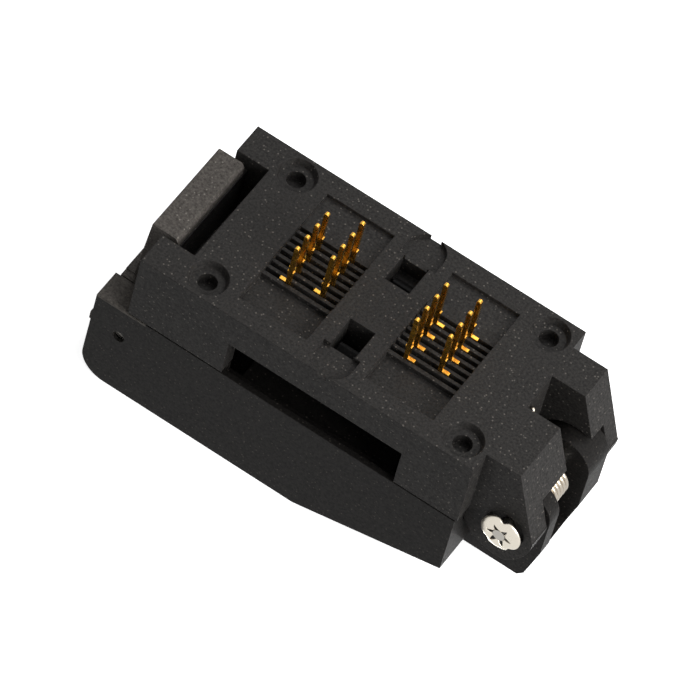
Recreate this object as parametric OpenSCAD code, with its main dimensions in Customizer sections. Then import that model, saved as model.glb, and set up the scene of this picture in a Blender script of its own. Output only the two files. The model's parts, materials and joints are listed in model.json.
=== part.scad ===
// Clamshell test socket for a 16-lead small-outline package.
// +X runs along the body to the hinge, +Z goes up through the lid.
// Z = 0 is the seating face of the base, X = Y = 0 the middle of the two contact combs.

/* [Body] */
// Width of the base and of the lid
body_w = 15.4; // [15:0.1:18]
// Height of the base, seating face to parting plane
base_h = 6.6; // [6.5:0.1:8]
// Distance from the middle to the latch face of the base
latch_face = 15.6; // [15.5:0.1:17]
// Distance from the middle to the shoulders beside the hinge ears
shoulder = 12.9; // [12.8:0.1:13.2]
// Gap between base and lid
parting_gap = 0.15; // [0.1:0.01:0.3]
// Thickness of the base floor above the seating face
floor_t = 3.05; // [2.9:0.05:3.3]
// Half length of the well in the top of the base
well_x = 9.2; // [9:0.1:10]
// Half width of the well in the top of the base
well_y = 6.2; // [6.1:0.05:6.4]
// Half length of the side windows
window_x = 7.45; // [6:0.05:8.5]

/* [Contacts] */
// Contacts in each comb
leads = 8; // [4:2:8]
// Pitch of the package leads
pitch = 0.65; // [0.65:0.01:0.7]
// Thickness of the contact sheet, along the comb
sheet_t = 0.3; // [0.2:0.01:0.32]
// Width of the contact slots
slot_w = 0.36; // [0.34:0.01:0.4]
// Distance of the inner tail rows from the middle
row_in = 3.81; // [3.7:0.01:4]
// Distance of the outer tail rows from the middle
row_out = 6.35; // [6.1:0.01:6.6]
// Length of the inner tails below the seating face
tail_in = 4.4; // [3:0.1:6]
// Length of the outer tails below the seating face
tail_out = 3.95; // [3:0.05:6]
// Width of a tail
tail_w = 0.36; // [0.3:0.01:0.45]
// Width of the spring beams
beam_w = 0.3; // [0.2:0.01:0.35]
// Slope of the spring beams
beam_slope = 20; // [14:1:24]
// Distance of the contact tips from the middle
tip_x = 2.95; // [2.9:0.01:3.05]
// Height of the contact tips
tip_z = 5.55; // [5.3:0.05:5.6]

/* [Combs] */
// Inner edge of a comb
comb_in = 2.5; // [2.4:0.05:2.6]
// Outer edge of a comb
comb_out = 8.35; // [8.2:0.05:8.8]
// Half length of a comb
comb_y = 5.9; // [3.5:0.1:6.1]
// Depth of the comb recess
comb_d = 0.35; // [0.2:0.05:0.5]
// Depth of the deeper near end of the recess
comb_deep = 0.8; // [0.6:0.05:1.2]
// Start of the deeper near end
comb_step = 2.8; // [2.8:0.1:3.4]

/* [Board side] */
// Screw hole pitch along the body
screw_x = 21.9; // [21:0.1:22.5]
// Screw hole pitch across the body
screw_y = 11.74; // [11:0.02:12.2]
// Radius of the screw holes
screw_r = 0.75; // [0.5:0.05:1]
// Radius of the screw counterbores at the face
bore_r = 1.55; // [1.3:0.05:1.7]
// Depth of the screw counterbores
bore_d = 0.55; // [0.3:0.05:1]
// Depth of the screw holes past their counterbores
screw_d = 0.9; // [0.5:0.1:2]
// Radius of the finger recesses
dish_r = 1.56; // [1.2:0.02:1.7]
// Depth of the finger recesses
dish_d = 0.4; // [0.2:0.05:0.8]

/* [Nest] */
// Top of the nest
nest_top = 6.4; // [6.3:0.05:6.5]
// Underside of the nest
nest_z = 4.6; // [4.5:0.05:4.8]
// Clearance of the nest at the ends of the well
nest_gap = 0.15; // [0.1:0.05:0.3]
// Half width of the nest
nest_y = 4.9; // [4.8:0.1:5.9]
// Length of the package body
chip_y = 5.1; // [4:0.1:5.1]
// Width of the package body
chip_x = 4.5; // [4.3:0.1:4.6]
// Half width of the snap legs
leg_x = 0.83; // [0.6:0.01:0.95]
// Distance of the snap legs from the middle
leg_y = 3.55; // [3.4:0.05:3.7]

/* [Hinge] */
// Distance of the hinge axis from the middle
hinge_x = 15.9; // [15.8:0.05:16.1]
// Radius of the lid knuckles
knuckle_r = 2.45; // [2.3:0.05:2.6]
// Clearance round the knuckles
knuckle_gap = 0.3; // [0.2:0.05:0.4]
// Radius of the ears about the axis
ear_r = 3.55; // [3.3:0.05:3.6]
// Distance of the outer ear faces from the middle
ear_y = 5.95; // [5.8:0.05:6]
// Radius of the shaft
shaft_r = 0.5; // [0.4:0.05:0.6]
// Running clearance of the shaft in the lid
shaft_gap = 0.05; // [0.03:0.01:0.1]
// Radius of the counterbore in the near ear
ear_bore_r = 1.61; // [1.4:0.01:1.7]
// Depth of the counterbore in the near ear
ear_bore_d = 0.6; // [0.3:0.05:0.9]
// Radius of the lock washer
washer_r = 1.65; // [1.5:0.05:1.8]
// Height of the lock washer
washer_h = 0.92; // [0.6:0.02:1.1]
// Wire of the hinge spring
hinge_wire = 0.36; // [0.2:0.01:0.36]
// Mean radius of the hinge spring
coil_r = 1.58; // [1.3:0.02:1.6]

/* [Lid] */
// Top of the lid
lid_top = 15.95; // [15.9:0.05:18]
// Slope of the lid towards the hinge
lid_slope = 14.1; // [12:0.1:15]
// Start of the slope
slope_x = 0.5; // [0:0.1:2]
// Wall of the lid
lid_wall = 1.4; // [1.2:0.05:1.4]
// Latch end of the lid
lid_end = 18.4; // [18.2:0.1:19]
// Rounding of the lid's top at the latch end
lid_r = 2.2; // [1:0.1:2.5]
// Top of the hinge boss
boss_top = 14; // [13.8:0.1:14.2]

/* [Presser] */
// Half length of the presser plate
press_x = 6.5; // [6:0.1:6.8]
// Half width of the presser plate
press_y = 6; // [5.6:0.1:6.1]
// Underside of the presser plate
press_z = 8.3; // [8.1:0.1:8.6]
// Thickness of the presser plate
press_t = 2; // [1.6:0.1:2.2]
// Height of the feet that press the leads
foot_z = 6; // [5.9:0.05:6.2]
// Travel of the presser
float_z = 0.5; // [0.3:0.05:0.6]
// Width of the presser ears
guide_w = 4; // [3:0.1:5]
// Drop of the spring seats below the lid's top
seat_drop = 2.95; // [2.95:0.05:3.4]
// Distance of the springs from the middle, along the body
spring_x = 4.5; // [4:0.1:4.8]
// Distance of the springs from the middle, across the body
spring_y = 4; // [3.6:0.1:4.2]
// Mean radius of the presser springs
spring_r = 0.9; // [0.7:0.05:0.95]
// Wire of the presser springs
spring_wire = 0.24; // [0.15:0.01:0.26]

/* [Latch] */
// Half width of the latch bay
bay_y = 5.2; // [5.1:0.05:5.4]
// Half width of the hook
hook_y = 4.38; // [4:0.02:4.6]
// Clearance beside the latch
latch_gap = 0.15; // [0.1:0.05:0.25]
// Distance of the latch pin from the middle
pin_x = 15.88; // [15.8:0.02:16]
// Height of the latch pin
pin_z = 9.92; // [9.8:0.02:10.1]
// Radius of the latch pin
pin_r = 0.45; // [0.35:0.05:0.5]
// Overlap of the hook under its lip
hook_grip = 0.4; // [0.3:0.05:0.5]
// Height of the hook's nose
nose_h = 1.1; // [0.9:0.05:1.1]
// Underside of the hook
hook_z = 0.25; // [0.15:0.05:0.35]

/* [Hidden] */
$fn = 48;
half_w = body_w / 2;
lid_z = base_h + parting_gap;
hinge_z = base_h;
far_ear = 4.5;
near_ear = 3.9;
far_arm = [-4.35, -1.6];
near_arm = [2.45, 3.75];
notch_y = [-2.85, 0.6];
notch_x = 13;
pocket_r = knuckle_r + knuckle_gap;
lip_z = hinge_z - knuckle_r - 0.1;
face_foot = 15.85;
face_top = 18.2;
bay_x = 13.9;
wall_x = 12.5;
rear_x = 12.75;
cavity_end = 10.5;
lip_x = latch_face - 0.7;
foot_len = 0.73;
loop_r = 0.4;
tip_r = 0.35;
loop_z = 3.6;
stem_u = 0.45;
lap = 0.02;
leg_t = 0.5;
catch_z = 1.85;
ear_t = 0.8;
guide_out = press_y + 0.9;
hole_lo = 2.26;
hole_hi = 4.95;
hole_x = 1.07;
seat_z = lid_top - seat_drop;
catch_back = latch_face - 2.8;
catch_under = hook_z + nose_h + 0.1;
catch_t = 0.9;
hook_out = latch_face + 1.17;
column_out = latch_face + 1.64;
lever_out = lid_end - 0.45;
tab_out = lid_end + 1.2;
spring_face = pin_x + 0.42;
latch_coil_z = pin_z + 2.88;
latch_coil_r = 0.8;
latch_wire = 0.22;
coil_seat = 0.4;
web_in = hinge_x - 0.9;
web_out = hinge_x + 0.6;
web_top = boss_top - 1.8;

L_NAMES = [for (i = [1:leads]) str("contact_l", i)];
R_NAMES = [for (i = [1:leads]) str("contact_r", i)];
SPRINGS = [for (i = [1:4]) str("presser_spring_", i)];

function slot_at(i) = (i - (leads + 1) / 2) * pitch;
function ceiling(x) = lid_top - lid_wall - max(0, x - slope_x) * tan(lid_slope);

// An outline drawn in X and Z, carried along Y from y0 to y1
module across(y0, y1) {
    translate([0, y1, 0]) rotate([90, 0, 0]) linear_extrude(y1 - y0) children();
}

// A cylinder along Y from y0 to y1
module rod(x, z, r, y0, y1) {
    translate([x, y1, z]) rotate([90, 0, 0]) cylinder(r = r, h = y1 - y0);
}

// A block between two corners
module block(a, b) {
    translate(a) cube(b - a);
}

// The same thing at both sides of the XZ plane
module both_y() {
    children();
    mirror([0, 1, 0]) children();
}

// The same thing at both sides of the YZ plane
module both_x() {
    children();
    mirror([1, 0, 0]) children();
}

// A straight bar from a to b, lapping what it meets at both ends
module bar(a, b, w) {
    d = b - a;
    translate(a) rotate(atan2(d.y, d.x)) translate([-lap, -w / 2]) square([norm(d) + 2 * lap, w]);
}

// A bent bar about c, from angle a0 to a1
module bend(c, r, w, a0, a1) {
    far = 3 * (r + w);
    mid = (a0 + a1) / 2;
    translate(c) intersection() {
        difference() {
            circle(r + w / 2);
            circle(r - w / 2);
        }
        polygon([[0, 0], far * [cos(a0), sin(a0)], far * [cos(mid), sin(mid)],
            far * [cos(a1), sin(a1)]]);
    }
}

// A wire of radius w swept through [x, y, z, angle of the section's outward side]
module wire(path, w, sides = 6) {
    n = len(path);
    points = [for (p = path) for (j = [0:sides - 1])
        let (a = 360 * j / sides)
        [p[0] + w * cos(a) * cos(p[3]), p[1] + w * sin(a), p[2] + w * cos(a) * sin(p[3])]];
    walls = [for (i = [0:n - 2]) for (j = [0:sides - 1])
        let (a = i * sides + j, b = i * sides + (j + 1) % sides)
        each [[a, b, b + sides], [a, b + sides, a + sides]]];
    first = [for (j = [sides - 1:-1:0]) j];
    last = [for (j = [0:sides - 1]) (n - 1) * sides + j];
    polyhedron(points, concat([first], walls, [last]));
}

// A compression spring standing from z = 0 to h
module coil(r, w, h, turns, steps = 14) {
    n = turns * steps;
    rotate([90, 0, 0]) wire([for (i = [0:n])
        let (a = 360 * i / steps)
        [r * cos(a), w + (h - 2 * w) * i / n, r * sin(a), a]], w);
}

module comb_cuts() {
    both_x() {
        block([comb_in, -comb_y, -1], [comb_out, comb_y, comb_d]);
        block([comb_in, comb_step, -1], [comb_out, comb_y, comb_deep]);
        for (i = [1:leads])
            block([comb_in - 0.05, slot_at(i) - slot_w / 2, -1],
                [comb_out, slot_at(i) + slot_w / 2, floor_t + 1]);
    }
}

// Square holes for the nest's snap legs, and the finger recesses beyond them
module snap_cuts() {
    both_y() {
        block([-hole_x, hole_lo, -1], [hole_x, hole_hi, catch_z]);
        block([-hole_x, hole_lo, -1], [hole_x, leg_y + leg_t / 2 + 0.15, floor_t + 1]);
        block([-dish_r, hole_hi + 0.05, -1], [dish_r, 6.2, dish_d]);
        translate([0, 6.2, -1]) cylinder(r = dish_r, h = dish_d + 1);
    }
}

module screw_cuts() {
    for (x = [-1, 1]) for (y = [-1, 1])
        translate([x * screw_x / 2, y * screw_y / 2, 0]) {
            translate([0, 0, -0.01]) cylinder(r1 = bore_r, r2 = bore_r - 0.25, h = bore_d + 0.01);
            translate([0, 0, -0.01]) cylinder(r = screw_r, h = bore_d + screw_d + 0.01);
        }
}

// Notch for the hook: a catch bar that the nose closes under, with a deep pocket behind it
module latch_cuts() {
    across(-hook_y - 0.52, hook_y + 0.52)
        polygon([[-latch_face - 1, -1], [-catch_back, -1], [-catch_back, base_h - 1],
            [-lip_x + 0.9, base_h - 1], [-lip_x + 0.9, catch_under], [-lip_x, catch_under],
            [-lip_x, catch_under + catch_t], [-lip_x + 0.3, catch_under + catch_t + 0.3],
            [-lip_x + 0.3, base_h + 1], [-latch_face - 1, base_h + 1]]);
}

module hinge_cuts() {
    far = hinge_x + ear_r + 1;
    high = hinge_z + ear_r + 1;
    block([notch_x, notch_y[0], -1], [far, notch_y[1], base_h + 1]);
    rod(hinge_x, hinge_z, pocket_r, -far_ear, near_ear);
    block([hinge_x, -far_ear, lip_z], [far, near_ear, high]);
    block([hinge_x - ear_r - 1, -far_ear, hinge_z], [far, near_ear, high]);
    rod(hinge_x, hinge_z, shaft_r + 0.03, -half_w - 1, half_w + 1);
    rod(hinge_x, hinge_z, ear_bore_r, ear_y - ear_bore_d, half_w + 1);
}

// Outline of the ears: a slanted end face and a round top
module ear_outline() {
    polygon([[shoulder - 1, 0], [face_foot, 0], [face_top, hinge_z - 0.1],
        [face_top + 0.04, hinge_z], [shoulder - 1, hinge_z]]);
    intersection() {
        translate([hinge_x - 1.96, hinge_z + 0.04]) circle(4.34);
        translate([hinge_x, hinge_z]) circle(ear_r);
        translate([hinge_x - 4, hinge_z - 0.05]) square([8, 6]);
    }
}

module base_body() {
    color("dimgray") difference() {
        union() {
            block([-latch_face, -half_w, 0], [shoulder, half_w, base_h]);
            across(-ear_y, ear_y) ear_outline();
        }
        block([-well_x, -well_y, floor_t], [well_x, well_y, base_h + 1]);
        block([-window_x, -half_w - 1, floor_t], [window_x, half_w + 1, base_h + 1]);
        comb_cuts();
        snap_cuts();
        screw_cuts();
        latch_cuts();
        hinge_cuts();
    }
}

module ic_nest() {
    nx = well_x - nest_gap;
    ny = nest_y;
    color("dimgray") difference() {
        union() {
            block([-nx, -ny, nest_z], [nx, ny, nest_top]);
            block([-1.9, -ny + 0.4, floor_t], [1.9, ny - 0.4, nest_z]);
            both_y() across_legs();
        }
        block([-chip_x / 2, -chip_y / 2, 5], [chip_x / 2, chip_y / 2, nest_top + 1]);
        both_x() {
            block([chip_x / 2 - 0.1, -chip_y / 2 - 0.3, 5.7],
                [tip_x + 0.8, chip_y / 2 + 0.3, nest_top + 1]);
            for (i = [1:leads])
                block([tip_x - 0.55, slot_at(i) - slot_w / 2, nest_z - 1],
                    [tip_x + 0.75, slot_at(i) + slot_w / 2, nest_top + 1]);
        }
    }
}

// A snap leg with its nose, hooked under the floor's ledge
module across_legs() {
    out = leg_y + leg_t / 2;
    translate([-leg_x, 0, 0]) rotate([90, 0, 90]) linear_extrude(2 * leg_x)
        polygon([[out - leg_t, floor_t + 0.1], [out - leg_t, catch_z - 0.25],
            [leg_y - 0.12, catch_z - 0.45], [leg_y + 0.12, catch_z - 0.45],
            [out + 0.35, catch_z - 0.1], [out + 0.35, catch_z - 0.02],
            [out, catch_z - 0.02], [out, floor_t + 0.1]]);
}

// One contact: tail, shoulder, foot, looped spring beam and tip; u is the distance from the middle
module contact_outline(row, tail) {
    c1 = [row + stem_u - loop_r, loop_z];
    run = (c1.x - (loop_r + tip_r) * sin(beam_slope) - tip_r - tip_x) / cos(beam_slope);
    side = [-sin(beam_slope), cos(beam_slope)];
    p1 = c1 + loop_r * side;
    p2 = p1 - run * [cos(beam_slope), sin(beam_slope)];
    c2 = p2 + tip_r * side;
    translate([row - tail_w / 2, -tail + tail_w / 2]) square([tail_w, tail + 0.5]);
    translate([row, -tail + tail_w / 2]) circle(tail_w / 2);
    translate([row - 0.25, -1.1]) square([0.5, 0.3]);
    translate([row - tail_w / 2, comb_d - 0.1]) square([foot_len + tail_w / 2, 1.35]);
    bar([row + stem_u, 1], [row + stem_u, loop_z], beam_w);
    bend(c1, loop_r, beam_w, 0, 90 + beam_slope);
    bar(p2, p1, beam_w);
    bend(c2, tip_r, beam_w, 180, 270 + beam_slope);
    bar([tip_x, c2.y], [tip_x, tip_z - beam_w / 2], beam_w);
    translate([tip_x, tip_z - beam_w / 2]) circle(beam_w / 2);
}

// Contact i of a comb; odd and even slots take the two rows in turn
module contact(i, outer) {
    y = slot_at(i);
    color("goldenrod") across(y - sheet_t / 2, y + sheet_t / 2)
        contact_outline(outer ? row_out : row_in, outer ? tail_out : tail_in);
}

module contact_l(i) {
    mirror([1, 0, 0]) contact(i, i % 2 == 0);
}

module contact_r(i) {
    contact(i, i % 2 == 1);
}

module hinge_shaft() {
    color("silver") {
        rod(hinge_x, hinge_z, shaft_r, -ear_y - 0.1, ear_y + washer_h - 0.1);
        rod(hinge_x, hinge_z, shaft_r + 0.45, -ear_y - 0.4, -ear_y);
    }
}

// Dished push-on washer: six pointed slots round the shaft, three notches in the rim
module star_washer() {
    t = 0.2;
    rim = washer_h - 0.42;
    color("lightgray") translate([hinge_x, ear_y, hinge_z]) rotate([-90, 0, 0]) difference() {
        rotate_extrude() polygon([[washer_r, rim], [washer_r, rim + t], [washer_r - 0.5, washer_h],
            [shaft_r / 2, washer_h], [shaft_r / 2, washer_h - t], [washer_r - 0.55, washer_h - t],
            [washer_r - 0.12, rim]]);
        cylinder(r = shaft_r + 0.01, h = 2);
        for (a = [0, 60, 120]) rotate(a) linear_extrude(2)
            polygon([[1.1, 0], [0, 0.45], [-1.1, 0], [0, -0.45]]);
        for (a = [-130, -45, 90])
            rotate(a) translate([washer_r + 0.1, 0, -1]) cylinder(r = 0.42, h = 3);
    }
}

// Torsion spring: a leg on the base's wall, close turns, a leg on the lid's web
module hinge_spring() {
    w = hinge_wire / 2;
    low = [notch_x + w + 0.03, 0.8];
    high = [web_in - w - 0.03, hinge_z + 4.9];
    c = [hinge_x, hinge_z];
    a1 = atan2(low.y - c.y, low.x - c.x) + 360 - acos(coil_r / norm(low - c));
    a2 = atan2(high.y - c.y, high.x - c.x) + acos(coil_r / norm(high - c));
    sweep = a1 - a2 + 360 * 6;
    y0 = -0.12;
    step = hinge_wire + 0.012;
    n = 96;
    y1 = y0 + step * sweep / 360;
    color("silver") wire(concat([[low.x, y0, low.y, a1]],
        [for (i = [0:n]) let (a = a1 - sweep * i / n)
            [c.x + coil_r * cos(a), y0 + (y1 - y0) * i / n, c.y + coil_r * sin(a), a]],
        [[high.x, y1, high.y, a1 - sweep]]), w, 8);
}

// Side outline of the lid
module lid_outline() {
    polygon([[-lid_end + 0.1, lid_z], [-lid_end, lid_top - lid_r],
        [-lid_end + lid_r, lid_top - lid_r], [-lid_end + lid_r, lid_top], [slope_x, lid_top],
        [rear_x, lid_top - (rear_x - slope_x) * tan(lid_slope)], [rear_x, lid_z]]);
    translate([-lid_end + lid_r, lid_top - lid_r]) circle(lid_r);
}

// Side outline of the hinge boss and its arms
module boss_outline() {
    back = hinge_x + knuckle_r;
    polygon([[rear_x - 4, boss_top], [back - 1.2, boss_top], [back - 0.7, boss_top - 0.6],
        [back, hinge_z + 3.7], [back, hinge_z], [hinge_x, hinge_z], [hinge_x - knuckle_r, lid_z],
        [rear_x - 0.5, lid_z], [rear_x - 4, 12.5]]);
    translate([hinge_x, hinge_z]) circle(knuckle_r);
}

module lid_cavity() {
    across(-well_y - 0.1, well_y + 0.1)
        polygon([[-wall_x, lid_z - 1], [-wall_x, ceiling(0)], [slope_x, ceiling(0)],
            [cavity_end, ceiling(cavity_end)], [cavity_end, lid_z - 1]]);
}

// Grooves for the presser's ears, open upwards by its travel, and a rebate above the windows
module lid_grooves() {
    both_y() block([-guide_w / 2 - 0.15, well_y - 1, press_z],
        [guide_w / 2 + 0.15, guide_out + 0.15, press_z + ear_t + float_z + 0.1]);
    block([-window_x, -half_w + 0.5, lid_z - 1], [window_x, half_w - 0.5, lid_z + 0.85]);
}

// Room for the latch, its pin and the seat of its spring
module lid_latch_cuts() {
    block([-lid_end - 2, -bay_y, lid_z - 1], [-bay_x, bay_y, lid_top + 1]);
    rod(-pin_x, pin_z, pin_r + 0.05, -half_w - 1, half_w + 1);
    translate([-bay_x - 0.01, 0, latch_coil_z]) rotate([0, 90, 0])
        cylinder(r = latch_coil_r + 0.3, h = coil_seat + 0.01);
}

// Room for the ears, the torsion spring and its leg
module lid_hinge_cuts() {
    rod(hinge_x, hinge_z, ear_r + 0.15, near_arm[1], ear_y + 0.15);
    rod(hinge_x, hinge_z, ear_r + 0.15, -ear_y - 0.15, far_arm[0]);
    rod(hinge_x, hinge_z, knuckle_r + 0.1, far_arm[1], near_arm[0]);
    block([hinge_x - 2.6, far_arm[1], hinge_z - 3], [web_in, near_arm[0], web_top]);
    block([web_out, far_arm[1], hinge_z - 3], [hinge_x + 4, near_arm[0], web_top + 0.3]);
    rod(hinge_x, hinge_z, shaft_r + shaft_gap, -half_w - 1, half_w + 1);
}

module lid_shell() {
    color("dimgray") {
        difference() {
            union() {
                across(-half_w, half_w) lid_outline();
                across(far_arm[0], near_arm[1]) boss_outline();
            }
            lid_cavity();
            lid_grooves();
            lid_latch_cuts();
            lid_hinge_cuts();
        }
        for (x = [-1, 1]) for (y = [-1, 1])
            translate([x * spring_x, y * spring_y, seat_z])
                cylinder(r = spring_r + 0.4, h = ceiling(x * spring_x) + 0.5 - seat_z);
    }
}

module presser() {
    top = press_z + press_t;
    color("dimgray") difference() {
        union() {
            block([-press_x, -press_y, press_z], [press_x, press_y, top]);
            both_y() block([-guide_w / 2, press_y - 0.5, press_z],
                [guide_w / 2, guide_out, press_z + ear_t]);
            block([-4.2, -3.4, base_h + 0.4], [4.2, 3.4, press_z]);
            both_x() block([tip_x - 0.45, -chip_y / 2, foot_z], [tip_x + 0.55, chip_y / 2, press_z]);
        }
        for (x = [-1, 1]) for (y = [-1, 1])
            translate([x * spring_x, y * spring_y, top - 0.6])
                cylinder(r = spring_r + 0.35, h = 1);
    }
}

module presser_spring(i) {
    z = press_z + press_t - 0.6;
    color("silver") translate([(i % 2 == 0 ? 1 : -1) * spring_x, (i > 2 ? 1 : -1) * spring_y, z])
        coil(spring_r, spring_wire / 2, seat_z - z, 5);
}

// Side outline of the latch: hook, pivot boss and thumb tab
module latch_outline() {
    tip = -lip_x + hook_grip;
    inner = -lip_x - 0.3;
    polygon([[-hook_out, hook_z], [tip - 0.25, hook_z], [tip, hook_z + 0.35],
        [tip, hook_z + nose_h], [inner, hook_z + nose_h], [inner, lid_z + 0.5],
        [-column_out, lid_z + 0.5], [-column_out + 0.21, hook_z + 3.57]]);
    polygon([[-lever_out, lid_z], [inner, lid_z + 0.15], [-pin_x + 1.2, pin_z],
        [-spring_face, pin_z + 1.5], [-spring_face, lid_top - 1.15],
        [-spring_face - 0.9, lid_top - 1.15], [-spring_face - 1.3, lid_top - 1.75],
        [-tab_out, lid_top - 2.15], [-tab_out, lid_top - 2.95], [-lever_out, lid_top - 3.55]]);
    translate([-pin_x, pin_z]) circle(1.2);
}

module latch_lever() {
    width = bay_y - latch_gap;
    color("dimgray") difference() {
        intersection() {
            across(-width, width) latch_outline();
            union() {
                block([-tab_out - 1, -hook_y, 0], [0, hook_y, lid_z + 0.2]);
                block([-tab_out - 1, -width, lid_z + 0.1], [0, width, lid_top + 1]);
            }
        }
        rod(-pin_x, pin_z, pin_r + 0.05, -half_w - 1, half_w + 1);
        translate([-spring_face - coil_seat, 0, latch_coil_z]) rotate([0, 90, 0])
            cylinder(r = latch_coil_r + 0.3, h = 1);
    }
}

module latch_pin() {
    color("silver") rod(-pin_x, pin_z, pin_r, -half_w + 0.35, half_w - 0.35);
}

module latch_spring() {
    reach = spring_face - bay_x + 2 * coil_seat;
    color("silver") translate([-spring_face - coil_seat, 0, latch_coil_z]) rotate([0, 90, 0])
        coil(latch_coil_r, latch_wire / 2, reach, 5);
}

base_body();
ic_nest();
for (i = [1:leads]) contact_l(i);
for (i = [1:leads]) contact_r(i);
hinge_shaft();
star_washer();
hinge_spring();
lid_shell();
presser();
for (i = [1:4]) presser_spring(i);
latch_lever();
latch_pin();
latch_spring();
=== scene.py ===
import json
import math

import bmesh
import bpy
import numpy as np
from mathutils import Matrix, Vector

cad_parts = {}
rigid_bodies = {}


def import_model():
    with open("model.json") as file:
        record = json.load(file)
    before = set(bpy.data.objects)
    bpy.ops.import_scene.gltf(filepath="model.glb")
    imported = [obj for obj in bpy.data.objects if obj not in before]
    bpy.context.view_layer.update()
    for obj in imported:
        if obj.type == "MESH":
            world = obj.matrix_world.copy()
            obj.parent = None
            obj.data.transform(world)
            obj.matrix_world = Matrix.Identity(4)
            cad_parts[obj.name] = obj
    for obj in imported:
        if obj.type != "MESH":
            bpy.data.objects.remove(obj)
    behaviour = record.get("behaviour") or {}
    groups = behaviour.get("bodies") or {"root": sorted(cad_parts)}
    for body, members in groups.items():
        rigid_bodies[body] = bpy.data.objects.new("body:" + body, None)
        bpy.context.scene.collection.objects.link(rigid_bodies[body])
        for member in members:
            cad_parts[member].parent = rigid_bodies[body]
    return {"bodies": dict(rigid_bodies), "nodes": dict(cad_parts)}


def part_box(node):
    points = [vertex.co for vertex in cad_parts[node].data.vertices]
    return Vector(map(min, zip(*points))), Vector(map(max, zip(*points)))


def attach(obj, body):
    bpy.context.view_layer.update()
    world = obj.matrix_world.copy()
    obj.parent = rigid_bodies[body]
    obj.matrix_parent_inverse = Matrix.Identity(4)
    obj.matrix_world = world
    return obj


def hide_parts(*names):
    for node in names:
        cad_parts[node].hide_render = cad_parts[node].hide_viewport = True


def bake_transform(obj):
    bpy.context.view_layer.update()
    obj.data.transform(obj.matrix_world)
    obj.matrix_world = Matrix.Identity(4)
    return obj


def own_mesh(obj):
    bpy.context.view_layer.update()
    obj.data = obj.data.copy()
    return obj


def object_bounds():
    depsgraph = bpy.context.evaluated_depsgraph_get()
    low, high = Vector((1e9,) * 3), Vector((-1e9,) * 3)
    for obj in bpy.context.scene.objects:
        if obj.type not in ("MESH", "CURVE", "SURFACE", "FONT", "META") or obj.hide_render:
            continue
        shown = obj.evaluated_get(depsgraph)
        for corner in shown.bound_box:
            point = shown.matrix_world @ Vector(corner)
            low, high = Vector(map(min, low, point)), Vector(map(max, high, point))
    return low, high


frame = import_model()
nodes = frame["nodes"]
cad_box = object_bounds()
scene = bpy.context.scene
scene.view_settings.view_transform = "Standard"
MM = 0.001


# --- Camera and table -------------------------------------------------------------------
# The socket is seen from below, lying on its lid, with the board tails towards the eye.
# A long lens, so the two ends of the body stay nearly parallel.
LOOK_AZIMUTH = math.radians(70.363)     # direction of the eye about +Z, from +X
LOOK_DROP = math.radians(53.829)        # how far the eye stands below the seating face
LOOK_DISTANCE = 539.04 * MM
LOOK_ROLL = math.radians(163.734)       # turn of the picture about the line of sight
LOOK_AT = Vector((-0.113, 3.145, 2.138)) * MM
LOOK_LENS, LOOK_FRAME = 387.7, 36       # focal length and width of the frame, in millimetres
LOOK_NEAR, LOOK_FAR = 0.01, 20          # nearest and farthest that the lens sees, in metres

flat = math.cos(LOOK_DROP)
eye_way = Vector((flat * math.cos(LOOK_AZIMUTH), flat * math.sin(LOOK_AZIMUTH), -math.sin(LOOK_DROP)))
upright = (Vector((0, 0, 1)) - eye_way * eye_way.z).normalized()
aside = (-eye_way).cross(upright)
picture_up = upright * math.cos(LOOK_ROLL) + aside * math.sin(LOOK_ROLL)
picture_right = (-eye_way).cross(picture_up)
lens = bpy.data.cameras.new("camera")
lens.lens = LOOK_LENS
lens.sensor_width = LOOK_FRAME
lens.clip_start, lens.clip_end = LOOK_NEAR, LOOK_FAR
camera = bpy.data.objects.new("camera", lens)
camera.matrix_world = Matrix.Translation(LOOK_AT + eye_way * LOOK_DISTANCE) @ Matrix(
    (picture_right, picture_up, eye_way)).transposed().to_4x4()
scene.collection.objects.link(camera)
scene.camera = camera


def linear(code):
    """A hex sRGB colour as linear RGBA: each channel c becomes ((c + 0.055) / 1.055) ** 2.4."""
    c = np.array([int(code[i:i + 2], 16) for i in (1, 3, 5)]) / 255
    low = c <= 0.04045
    return (*np.where(low, c / 12.92, ((c + 0.055) / 1.055) ** 2.4), 1.0)


def add(tree, kind, inputs=None, **settings):
    """Adds one shader node; inputs maps a socket to a value or to another node's output."""
    new = tree.nodes.new("ShaderNode" + kind)
    for key, value in settings.items():
        setattr(new, key, value)
    for key, value in (inputs or {}).items():
        if isinstance(value, bpy.types.NodeSocket):
            tree.links.new(value, new.inputs[key])
        else:
            new.inputs[key].default_value = value
    return new


def new_material(name):
    """An empty node material and its tree."""
    made = bpy.data.materials.new(name)
    made.use_nodes = True
    made.node_tree.nodes.clear()
    return made, made.node_tree


# The world is a plain soft room: white where it is looked at, a dim lamp for matt faces and a
# brighter one in what shines.
ROOM_LEVEL = 0.2
ROOM_MIRRORED = 0.6
world = bpy.data.worlds.new("studio")
world.use_nodes = True
sky = world.node_tree
sky.nodes.clear()
path = add(sky, "LightPath")
seen = add(sky, "Math", {0: path.outputs["Is Camera Ray"], 1: path.outputs["Is Transmission Ray"]},
           operation="MAXIMUM")
level = add(sky, "Math", {0: path.outputs["Is Glossy Ray"], 1: ROOM_MIRRORED, 2: ROOM_LEVEL},
            operation="MULTIPLY_ADD")
room = add(sky, "Background", {"Color": linear("#ffffff"), "Strength": level.outputs[0]})
white = add(sky, "Background", {"Color": linear("#ffffff"), "Strength": 1.0})
both = add(sky, "MixShader", {0: seen.outputs[0], 1: room.outputs[0], 2: white.outputs[0]})
add(sky, "OutputWorld", {"Surface": both.outputs[0]})
scene.world = world


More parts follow.
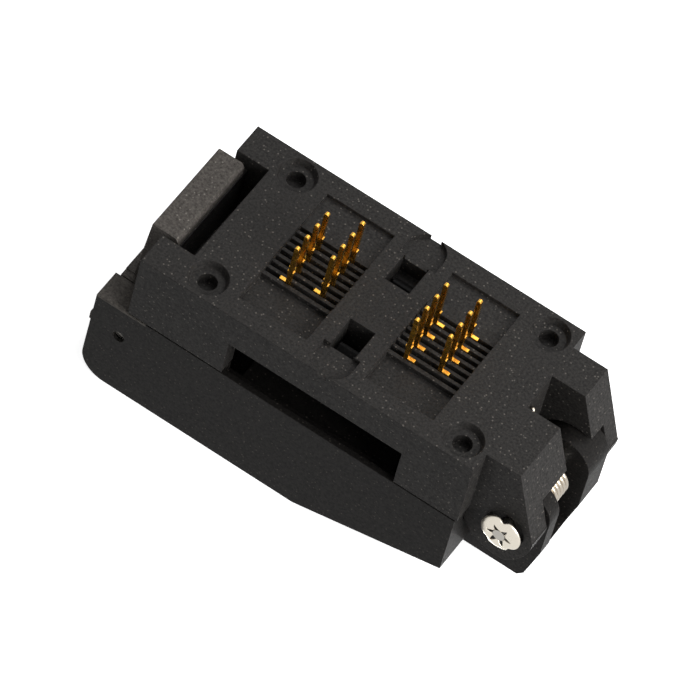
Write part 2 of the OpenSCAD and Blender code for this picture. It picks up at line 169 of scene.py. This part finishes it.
TABLE_SIZE = 1.2                        # metres
TABLE_GLOW = 0.8                        # light of its own, which keeps the table near white
TABLE_GAP = 0.02 * MM                   # between the lid's top and the table that it lies on


def one_sided_table(name, height, faces_up):
    """A square white table top at a height; from its back it is clear, so it never hides the part."""
    reach = TABLE_SIZE / 2
    corners = [(-reach, -reach, height), (reach, -reach, height), (reach, reach, height),
               (-reach, reach, height)]
    order = (0, 1, 2, 3) if faces_up else (3, 2, 1, 0)
    mesh = bpy.data.meshes.new(name)
    mesh.from_pydata(corners, [], [order])
    made, tree = new_material(name)
    side = add(tree, "NewGeometry")
    ray = add(tree, "LightPath")
    paper = add(tree, "BsdfDiffuse", {"Color": linear("#f6f6f6")})
    glow = add(tree, "Emission", {"Color": linear("#ffffff"), "Strength": TABLE_GLOW})
    front = add(tree, "AddShader", {0: paper.outputs[0], 1: glow.outputs[0]})
    clear = add(tree, "BsdfTransparent")
    faced = add(tree, "Math", {0: 1.0, 1: side.outputs["Backfacing"]}, operation="SUBTRACT")
    shown = add(tree, "Math", {0: faced.outputs[0], 1: ray.outputs["Is Camera Ray"]},
                operation="MULTIPLY")
    out = add(tree, "MixShader", {0: shown.outputs[0], 1: clear.outputs[0], 2: front.outputs[0]})
    add(tree, "OutputMaterial", {"Surface": out.outputs[0]})
    mesh.materials.append(made)
    table = bpy.data.objects.new(name, mesh)
    scene.collection.objects.link(table)
    return table


one_sided_table("table_under_tails", cad_box[0].z, True)
lid_side = one_sided_table("table_under_lid", cad_box[1].z + TABLE_GAP, False)
lid_side.parent = frame["bodies"]["lid"]


def lamp(name, place, size, watts):
    """A square area lamp at a place in millimetres, aimed at the middle of the body."""
    data = bpy.data.lights.new(name, "AREA")
    data.size = size * MM
    data.energy = watts
    made = bpy.data.objects.new(name, data)
    made.location = Vector(place) * MM
    made.rotation_mode = "QUATERNION"
    made.rotation_quaternion = (-made.location).to_track_quat("-Z", "Y")
    scene.collection.objects.link(made)


lamp("lamp_tails", (40, -150, -260), 220, 0.35)
lamp("lamp_hinge", (260, 60, -120), 200, 0.9)
lamp("lamp_lid", (-80, -140, 260), 240, 0.9)


# --- Black mouldings ----------------------------------------------------------------------
# Base, nest, lid, presser and latch are moulded in a black glass-filled high-heat plastic.
# It gives a matt face peppered with fine grit, and edges rounded by the tool.
FLOW_WIDE = 2.5 * MM                    # width of the broad, faint marks of the flow
GRIT_WIDE = 0.2 * MM                    # width of a grain of the filler
FLECK_STEP = 0.42 * MM                  # from one pale fleck to the next
PIT_DEPTH = 0.02 * MM
ROUGH_SPREAD = 0.08                     # how far the roughness strays from its middle
PALE_END_DARK, PALE_END_LIGHT = "#383533", "#6a655f"


def moulding(name, dark, light, speck, rough, pale_end=None, edge=0.08 * MM):
    """Black filled plastic: fine glass grit over a faint, broad flow, with soft edges.
    pale_end = (x, z) makes the faces below that height and before that place paler; their roughness
    stays as it is."""
    made, tree = new_material(name)
    where = add(tree, "TexCoord").outputs["Object"]
    flow = add(tree, "TexNoise", {"Vector": where, "Scale": 1 / FLOW_WIDE, "Detail": 3.0})
    grit = add(tree, "TexNoise", {"Vector": where, "Scale": 1 / GRIT_WIDE, "Detail": 3.0,
                                  "Roughness": 0.7})
    flecks = add(tree, "TexVoronoi", {"Vector": where, "Scale": 1 / FLECK_STEP}, feature="F1")
    grain = add(tree, "MapRange", {"Value": grit.outputs["Fac"], "From Min": 0.34, "From Max": 0.68,
                                   "To Max": 0.8})
    blend = add(tree, "Math", {0: flow.outputs["Fac"], 1: 0.3, 2: grain.outputs[0]},
                operation="MULTIPLY_ADD")
    tone = add(tree, "Mix", {"Factor": blend.outputs[0], "A": linear(dark), "B": linear(light)},
               data_type="RGBA")
    fibre = add(tree, "MapRange", {"Value": flecks.outputs["Distance"], "From Min": 0.08,
                                   "From Max": 0.2, "To Min": 0.75, "To Max": 0.0})
    colour = add(tree, "Mix", {"Factor": fibre.outputs[0], "A": tone.outputs["Result"],
                               "B": linear(speck)}, data_type="RGBA").outputs["Result"]
    # Faces before the given x and below the given z only take a paler pair of tones; roughness and bump
    # stay the same.
    if pale_end:
        place = add(tree, "SeparateXYZ", {"Vector": where})
        end = add(tree, "Math", {0: place.outputs["X"], 1: pale_end[0]}, operation="LESS_THAN")
        low_face = add(tree, "Math", {0: place.outputs["Z"], 1: pale_end[1]}, operation="LESS_THAN")
        mask = add(tree, "Math", {0: end.outputs[0], 1: low_face.outputs[0]}, operation="MULTIPLY")
        pale = add(tree, "Mix", {"Factor": blend.outputs[0], "A": linear(PALE_END_DARK),
                                 "B": linear(PALE_END_LIGHT)}, data_type="RGBA")
        colour = add(tree, "Mix", {"Factor": mask.outputs[0], "A": colour,
                                   "B": pale.outputs["Result"]}, data_type="RGBA").outputs["Result"]
    shine = add(tree, "MapRange", {"Value": grit.outputs["Fac"], "From Min": 0.3,
                                   "From Max": 0.7, "To Min": rough + ROUGH_SPREAD,
                                   "To Max": rough - ROUGH_SPREAD})
    soft = add(tree, "Bevel", {"Radius": edge}, samples=6)
    pits = add(tree, "Bump", {"Strength": 0.6, "Distance": PIT_DEPTH,
                              "Height": grit.outputs["Fac"], "Normal": soft.outputs[0]})
    body = add(tree, "BsdfPrincipled", {"Base Color": colour, "Roughness": shine.outputs[0],
                                        "IOR": 1.55, "Specular IOR Level": 0.1,
                                        "Normal": pits.outputs[0]})
    add(tree, "OutputMaterial", {"Surface": body.outputs[0]})
    return made


def dress(name, material):
    """Puts one material on a CAD node."""
    mesh = nodes[name].data
    mesh.materials.clear()
    mesh.materials.append(material)


LATCH_END, PARTING_TOP = -14 * MM, 6.95 * MM      # the lid is paler before the one, below the other
# The five parts are one plastic, but its copies differ by painted light and shade. The nest's copy is
# painted near black, as shade in the side window. The lid's copy, which the presser shares, is painted
# darker, as shade on the lid. The latch's copy is painted paler, as light falling on the latch end.
base_black = moulding("base_filled_plastic", "#191818", "#3b3937", "#77726c", 0.5)
nest_plastic_painted_shade = moulding("nest_filled_plastic_painted_shade", "#0a0a0a", "#171616", "#2c2a28", 0.6)
lid_plastic_painted_shade = moulding("lid_filled_plastic_painted_shade", "#100f0f", "#272523", "#544f4a", 0.5,
                     pale_end=(LATCH_END, PARTING_TOP))
latch_plastic_painted_light = moulding("latch_filled_plastic_painted_light", "#353230", "#69645f", "#98928a", 0.55)
dress("base_body", base_black)
dress("ic_nest", nest_plastic_painted_shade)
dress("lid_shell", lid_plastic_painted_shade)
dress("presser", lid_plastic_painted_shade)
dress("latch_lever", latch_plastic_painted_light)


# The moulded lip that the hook closes on ends at the tip of the hook's nose, and the pocket
# behind it is open to the floor. A merged copy of the base is cut to show that.
MERGE_WITHIN = 1e-7                     # metres: corners nearer than this are one


def less_box(source, name, low, high):
    """A merged copy of a moulding less the box between two corners."""
    solid, box = bmesh.new(), bmesh.new()
    solid.from_mesh(source)
    bmesh.ops.remove_doubles(solid, verts=solid.verts, dist=MERGE_WITHIN)
    bmesh.ops.create_cube(box, size=1, matrix=Matrix.Translation((low + high) / 2) @ Matrix.Diagonal(
        (*(high - low), 1)))
    made = []
    for label, form in ((name, solid), (name + "_cut", box)):
        mesh = bpy.data.meshes.new(label)
        form.to_mesh(mesh)
        form.free()
        made.append(bpy.data.objects.new(label, mesh))
        scene.collection.objects.link(made[-1])
    piece, cutter = made
    cut = piece.modifiers.new("cut", "BOOLEAN")
    cut.object, cut.operation, cut.solver = cutter, "DIFFERENCE", "EXACT"
    result = bpy.data.meshes.new_from_object(
        piece.evaluated_get(bpy.context.evaluated_depsgraph_get()))
    piece.modifiers.clear()
    piece.data = result
    bpy.data.objects.remove(cutter)
    return piece


nose_tip, pocket_back, pocket_half = -14.45 * MM, -12.8 * MM, 4.9 * MM
pocket_low, pocket_high = 1.2 * MM, 5.6 * MM
base = less_box(nodes["base_body"].data, "base_moulding",
                Vector((nose_tip, -pocket_half, pocket_low)),
                Vector((pocket_back, pocket_half, pocket_high)))
base.data.materials.clear()
base.data.materials.append(base_black)
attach(base, "base")
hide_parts("base_body")


# --- Contacts -------------------------------------------------------------------------------
# Sixteen blades stamped from beryllium copper and gold plated, pressed in from above.
# Gold over smooth sheet: a bright, slightly pulled surface with rounded coined edges.
PULL_WIDE = 0.5 * MM                    # width of a drawn streak
WAVE_DEPTH = 0.01 * MM


def plated(name, colour, rough, edge):
    """Plated metal: a smooth mirror with faint drawn waviness and rounded edges."""
    made, tree = new_material(name)
    where = add(tree, "TexCoord").outputs["Object"]
    pull = add(tree, "TexNoise", {"Vector": where, "Scale": 1 / PULL_WIDE, "Detail": 3.0})
    wear = add(tree, "MapRange", {"Value": pull.outputs["Fac"], "From Min": 0.3, "From Max": 0.7,
                                  "To Min": rough - 0.06, "To Max": rough + 0.08})
    soft = add(tree, "Bevel", {"Radius": edge}, samples=6)
    wave = add(tree, "Bump", {"Strength": 0.3, "Distance": WAVE_DEPTH,
                              "Height": pull.outputs["Fac"], "Normal": soft.outputs[0]})
    body = add(tree, "BsdfPrincipled", {"Base Color": linear(colour), "Metallic": 1.0,
                                        "Roughness": wear.outputs[0], "Normal": wave.outputs[0]})
    add(tree, "OutputMaterial", {"Surface": body.outputs[0]})
    return made


gold = plated("gold_plate", "#e8b04a", 0.24, 0.08 * MM)
for comb in "lr":
    for number in range(1, 9):
        dress(f"contact_{comb}{number}", gold)


# --- Pins ---------------------------------------------------------------------------------
# The hinge shaft and the latch pin are cut from ground steel rod.
# They show a grey, dull mirror.
steel = plated("ground_steel", "#c4c0b8", 0.32, 0.05 * MM)
dress("hinge_shaft", steel)
dress("latch_pin", steel)


# --- Springs --------------------------------------------------------------------------------
# Round stainless wire, wound cold: a torsion spring on the hinge, four compression springs
# over the presser and one behind the latch.
def grid_mesh(name, grid, material, body, round_u=False, caps=False):
    """Faces over a U x V grid of points; V always closes on itself, U closes if round_u.
    The sum of p0.(p1 x p2) over the faces is the volume's sign: a negative one turns them round."""
    u, v = grid.shape[:2]
    index = np.arange(u * v).reshape(u, v)
    rows = index if round_u else index[:-1]
    nexts = np.roll(index, -1, 0) if round_u else index[1:]
    beside, nexts_beside = np.roll(rows, -1, 1), np.roll(nexts, -1, 1)
    quads = np.stack([rows, beside, nexts_beside, nexts], -1).reshape(-1, 4).tolist()
    points = grid.reshape(-1, 3)
    p0, p1, p2, p3 = (points[np.array(quads)[:, k]] for k in range(4))
    swept = np.einsum("ij,ij->", p0, np.cross(p1, p2)) + np.einsum("ij,ij->", p0, np.cross(p2, p3))
    if caps:
        quads += [index[0, ::-1].tolist(), index[-1].tolist()]
    if swept < 0:
        quads = [quad[::-1] for quad in quads]
    mesh = bpy.data.meshes.new(name)
    mesh.from_pydata(grid.reshape(-1, 3).tolist(), [], quads)
    mesh.shade_smooth()
    mesh.materials.append(material)
    piece = bpy.data.objects.new(name, mesh)
    scene.collection.objects.link(piece)
    if body:
        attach(piece, body)
    return piece


def wire(points, outward, radius, sides=12):
    """A round wire: a ring of points about each path point, in the plane of outward and across."""
    along = np.gradient(points, axis=0)
    along /= np.linalg.norm(along, axis=1, keepdims=True)
    across = np.cross(along, outward)
    across /= np.linalg.norm(across, axis=1, keepdims=True)
    turn = np.linspace(0, 2 * np.pi, sides, endpoint=False)
    ring = np.cos(turn)[None, :, None] * outward[:, None] + np.sin(turn)[None, :, None] * across[:, None]
    return points[:, None] + radius * ring


TURN_POINTS = 40                        # path points to one turn of a coil


def compression_spring(mean_r, radius, height, turns, closed=0.9):
    """A helix standing on z = 0: height rises slowly over the closed end turns, evenly between."""
    t = np.linspace(0, turns, int(turns * TURN_POINTS) + 1)
    pitch_end = 2.02 * radius
    free = (height - 2 * radius - 2 * closed * pitch_end) / (turns - 2 * closed)
    z = np.interp(t, [0, closed, turns - closed, turns],
                  [0, closed * pitch_end, closed * pitch_end + free * (turns - 2 * closed),
                   height - 2 * radius]) + radius
    a = 2 * np.pi * t
    out = np.stack([np.cos(a), np.sin(a), 0 * a], 1)
    return wire(mean_r * out + np.stack([0 * a, 0 * a, z], 1), out, radius)


spring_steel = plated("stainless_wire", "#d3c9ba", 0.22, 0.02 * MM)
PRESSER_WIRE, LATCH_WIRE, HINGE_WIRE = 0.12 * MM, 0.11 * MM, 0.18 * MM      # radius of each
PUSH_TURNS = 6                          # turns of a compression spring
for number in range(1, 5):
    low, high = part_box(f"presser_spring_{number}")
    radius = PRESSER_WIRE
    mean = (high.x - low.x) / 2 - radius
    shape = compression_spring(mean, radius, high.z - low.z, PUSH_TURNS)
    shape += np.array([(low.x + high.x) / 2, (low.y + high.y) / 2, low.z])
    coil = grid_mesh(f"presser_coil_{number}", shape, spring_steel, "lid", caps=True)
    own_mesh(coil)
    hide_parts(f"presser_spring_{number}")

low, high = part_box("latch_spring")
radius = LATCH_WIRE
shape = compression_spring((high.y - low.y) / 2 - radius, radius, high.x - low.x, PUSH_TURNS)
shape = shape[..., [2, 0, 1]] + np.array([low.x, (low.y + high.y) / 2, (low.z + high.z) / 2])
coil = grid_mesh("latch_coil", shape, spring_steel, "lid", caps=True)
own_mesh(coil)
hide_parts("latch_spring")

# The torsion spring: a leg down the base's wall, six close turns round the shaft, and a leg up to the
# lid's web. The real one twists about its own axis as the lid opens; this one is fixed to no body and
# keeps its rest shape.
low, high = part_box("hinge_spring")
shaft_low, shaft_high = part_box("hinge_shaft")
axis_x, axis_z = (shaft_low.x + shaft_high.x) / 2, (shaft_low.z + shaft_high.z) / 2
radius = HINGE_WIRE
mean = 1.58 * MM
web_x = 14.79 * MM                      # where the upper leg meets the lid's web
HINGE_TURNS, COIL_POINTS, LEG_POINTS = 6, 260, 12
foot = np.array([low.x + radius, low.z])
head = np.array([web_x, high.z])


def touch_angle(point, side):
    """Angle on the coil at which a straight leg from a point leaves it."""
    gap = point - np.array([axis_x, axis_z])
    return np.arctan2(gap[1], gap[0]) + side * np.arccos(mean / np.hypot(*gap))


start = touch_angle(foot, -1) + 2 * np.pi
end = touch_angle(head, 1)
sweep = start - end + HINGE_TURNS * 2 * np.pi
a = start - np.linspace(0, sweep, COIL_POINTS)
y = np.linspace(low.y + radius, high.y - radius, COIL_POINTS)
turns = np.stack([axis_x + mean * np.cos(a), y, axis_z + mean * np.sin(a)], 1)
leg_in = np.linspace([foot[0], y[0], foot[1]], turns[0], LEG_POINTS, endpoint=False)
leg_out = np.linspace(turns[-1], [head[0], y[-1], head[1]], LEG_POINTS + 1)[1:]
spine = np.concatenate([leg_in, turns, leg_out])
lean = np.concatenate([np.full(LEG_POINTS, a[0]), a, np.full(LEG_POINTS, a[-1])])
out = np.stack([np.cos(lean), 0 * lean, np.sin(lean)], 1)
torsion = grid_mesh("hinge_torsion_coil", wire(spine, out, radius), spring_steel, None, caps=True)
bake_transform(torsion)
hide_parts("hinge_spring")


# --- Lock washer ----------------------------------------------------------------------------
# A push-on lock washer stamped from thin nickel-plated spring steel and dished in the press.
# Three lobes stand between rim notches, and six prongs grip the shaft round a star hole.
nickel = plated("nickel_plate", "#f6eedf", 0.3, 0.02 * MM)
low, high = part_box("star_washer")
NOTCH_ANGLES = (130, 45, -90)           # degrees round from +X
NOTCH_SPREAD = 0.2                      # radians from a notch's middle to its shoulder
NOTCH_DEPTH = 0.17                      # share of the rim's radius
SLOT_STEP, SLOT_HALF = 60, 19           # degrees from slot to slot, and half the width of one
rim_r, sheet, dish = (high.x - low.x) / 2, 0.2 * MM, 0.42 * MM
grip_r, slot_r, flat_r = 0.51 * MM, 1.08 * MM, 0.85 * MM
round_angle = np.linspace(0, 2 * np.pi, 360, endpoint=False)[:, None]
section = np.linspace(0, 2 * np.pi, 36, endpoint=False)[None]


def away(angle, centre):
    """Angle between two directions, folded to 0..pi."""
    return np.abs((angle - centre + np.pi) % (2 * np.pi) - np.pi)


# The rim is scooped by a bell of each notch; the hole runs out to a point every 60 degrees.
scoop = sum(np.exp(-(away(round_angle, math.radians(notch)) / NOTCH_SPREAD) ** 2)
            for notch in NOTCH_ANGLES)
outer = rim_r * (1 - NOTCH_DEPTH * scoop)
to_slot = np.abs((np.degrees(round_angle) + SLOT_STEP / 2) % SLOT_STEP - SLOT_STEP / 2)
inner = grip_r + (slot_r - grip_r) * np.clip(1 - to_slot / SLOT_HALF, 0, 1) ** 1.1
# The section is a rounded bar: a squared-off ellipse, wide along the radius, one sheet thick.
across_bar = 0.5 + 0.5 * np.sign(np.cos(section)) * np.abs(np.cos(section)) ** 0.4
thick = 0.5 * sheet * np.sign(np.sin(section)) * np.abs(np.sin(section)) ** 0.6
r = inner + (outer - inner) * across_bar
fall = np.clip((r - flat_r) / (rim_r - flat_r), 0, 1)
bent = np.clip((1.0 * MM - r) / (0.5 * MM), 0, 1) * 0.1 * MM
height = high.y - sheet / 2 - (dish - sheet / 2) * fall ** 1.6 - bent - 0.06 * MM * scoop * fall
grid = np.stack([axis_x + r * np.cos(round_angle), height + thick,
                 axis_z + r * np.sin(round_angle)], -1)
washer = grid_mesh("lock_washer", grid, nickel, "base", round_u=True)
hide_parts("star_washer")
